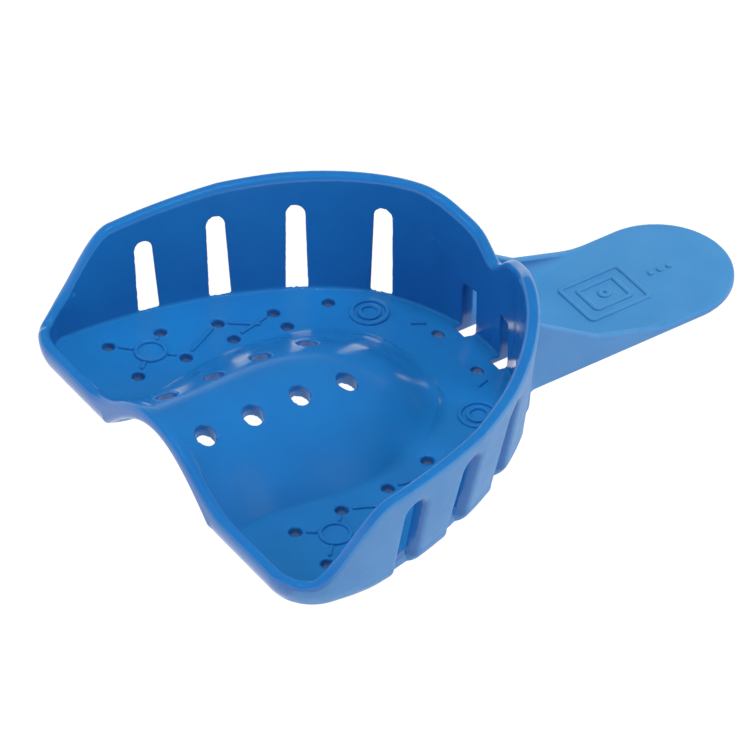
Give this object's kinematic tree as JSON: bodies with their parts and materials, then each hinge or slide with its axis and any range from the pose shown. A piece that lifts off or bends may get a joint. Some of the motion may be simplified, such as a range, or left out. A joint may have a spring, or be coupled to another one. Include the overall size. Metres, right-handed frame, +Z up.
{
  "type": "impression tray",
  "caption": "Perforated full-arch impression tray for the upper jaw, with slotted side walls, a raised palate vault and a flat ribbed handle.",
  "frame": {"origin": "on the resting plane, under the middle of the overall box", "axes": "+X across the mouth, square to the mirror plane; +Y from the heels towards the handle; +Z up out of the trough"},
  "size_m": [0.0792, 0.105, 0.0238],
  "materials": {
    "gloss_blue": "polished moulded plastic",
    "wall_blue": "polished inside, fine satin outside",
    "handle_blue": "fine spark-textured moulded plastic"
  },
  "bodies": {
    "root": {"trough_floor_right": "gloss_blue", "trough_floor_left": "gloss_blue", "trough_floor_front": "gloss_blue", "heel_edge_right": "gloss_blue", "heel_edge_left": "gloss_blue", "palate_vault": "gloss_blue", "palate_edge": "gloss_blue", "heel_wall_right": "wall_blue", "molar_wall_right": "wall_blue", "premolar_wall_right": "wall_blue", "canine_wall_right": "wall_blue", "heel_wall_left": "wall_blue", "molar_wall_left": "wall_blue", "premolar_wall_left": "wall_blue", "canine_wall_left": "wall_blue", "labial_wall": "wall_blue", "rim_band_right": "gloss_blue", "rim_band_left": "gloss_blue", "ring_boss_right": "gloss_blue", "ring_boss_left": "gloss_blue", "floor_ridges_right": "gloss_blue", "floor_ridges_left": "gloss_blue", "handle_plate": "handle_blue", "handle_rib_right": "handle_blue", "handle_rib_left": "handle_blue", "handle_frame": "handle_blue", "handle_pips": "handle_blue"}
  },
  "joints": []
}
